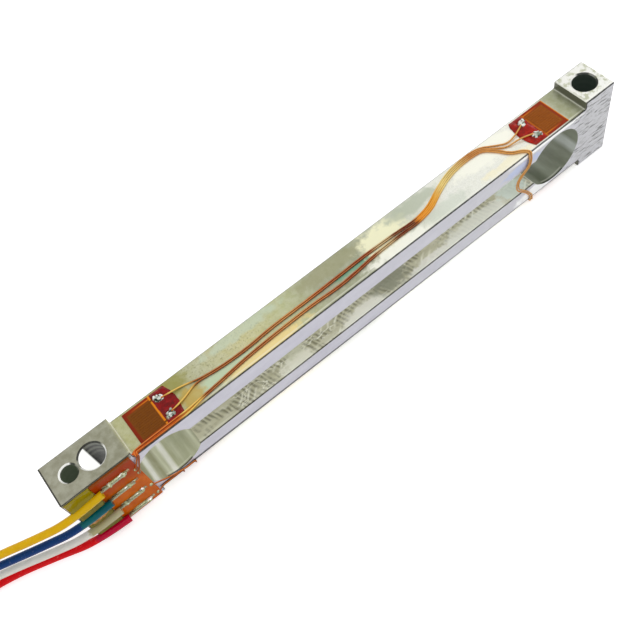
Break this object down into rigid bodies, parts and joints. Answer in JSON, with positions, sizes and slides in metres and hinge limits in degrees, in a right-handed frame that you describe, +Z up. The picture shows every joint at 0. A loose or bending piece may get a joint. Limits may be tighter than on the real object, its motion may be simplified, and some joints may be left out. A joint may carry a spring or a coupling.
{
  "type": "weighing load cell",
  "caption": "Bare single-point weighing load cell: milled aluminium bar with dog-bone window, foil strain gauges, enamelled bridge wires, terminal board and coloured leads",
  "frame": {"origin": "Middle of the footprint without the free leads, on the plane that the undersides of the two end blocks stand on.", "axes": "+X runs along the bar from the wired (fixed) end to the loaded end, the terminal board faces -Y, +Z is up through the vertical mounting holes."},
  "size_m": [0.2056, 0.0125, 0.017],
  "materials": {
    "aluminium_body": "fine brushed",
    "board_film": "glossy film",
    "clear_coating": "wet clear film",
    "amber_adhesive": "glossy",
    "enamelled_copper": "lacquered",
    "solder": "lumpy bright",
    "gauge_film": "satin film",
    "gauge_foil": "etched foil",
    "red_lacquer": "glossy lacquer",
    "tinned_copper": "tinned",
    "strip_metal": "tinned",
    "lead_yellow_skin": "smooth",
    "lead_blue_skin": "smooth",
    "lead_white_skin": "smooth",
    "lead_red_skin": "smooth"
  },
  "bodies": {
    "root": {"spring_body": "aluminium_body", "terminal_board": "board_film", "lead_coating": "clear_coating", "adhesive_drop": "amber_adhesive", "bridge_wire_1": "enamelled_copper", "bridge_wire_2": "enamelled_copper", "bridge_wire_3": "enamelled_copper", "bridge_wire_4": "enamelled_copper", "bridge_wire_5": "enamelled_copper", "bridge_wire_6": "enamelled_copper", "board_wire_solder": "solder", "gauge_carrier_fixed_top": "gauge_film", "gauge_foil_fixed_top": "gauge_foil", "gauge_lacquer_fixed_top": "red_lacquer", "gauge_solder_fixed_top": "solder", "gauge_carrier_fixed_bottom": "gauge_film", "gauge_foil_fixed_bottom": "gauge_foil", "gauge_lacquer_fixed_bottom": "red_lacquer", "gauge_solder_fixed_bottom": "solder", "gauge_carrier_load_top": "gauge_film", "gauge_foil_load_top": "gauge_foil", "gauge_lacquer_load_top": "red_lacquer", "gauge_solder_load_top": "solder", "gauge_carrier_load_bottom": "gauge_film", "gauge_foil_load_bottom": "gauge_foil", "gauge_lacquer_load_bottom": "red_lacquer", "gauge_solder_load_bottom": "solder", "lead_yellow": "lead_yellow_skin", "lead_core_yellow": "tinned_copper", "lead_tail_yellow": "tinned_copper", "lead_joint_yellow": "solder", "terminal_strip_yellow": "strip_metal", "lead_blue": "lead_blue_skin", "lead_core_blue": "tinned_copper", "lead_tail_blue": "tinned_copper", "lead_joint_blue": "solder", "terminal_strip_blue": "strip_metal", "lead_white": "lead_white_skin", "lead_core_white": "tinned_copper", "lead_tail_white": "tinned_copper", "lead_joint_white": "solder", "terminal_strip_white": "strip_metal", "lead_red": "lead_red_skin", "lead_core_red": "tinned_copper", "lead_tail_red": "tinned_copper", "lead_joint_red": "solder", "terminal_strip_red": "strip_metal"}
  },
  "joints": []
}
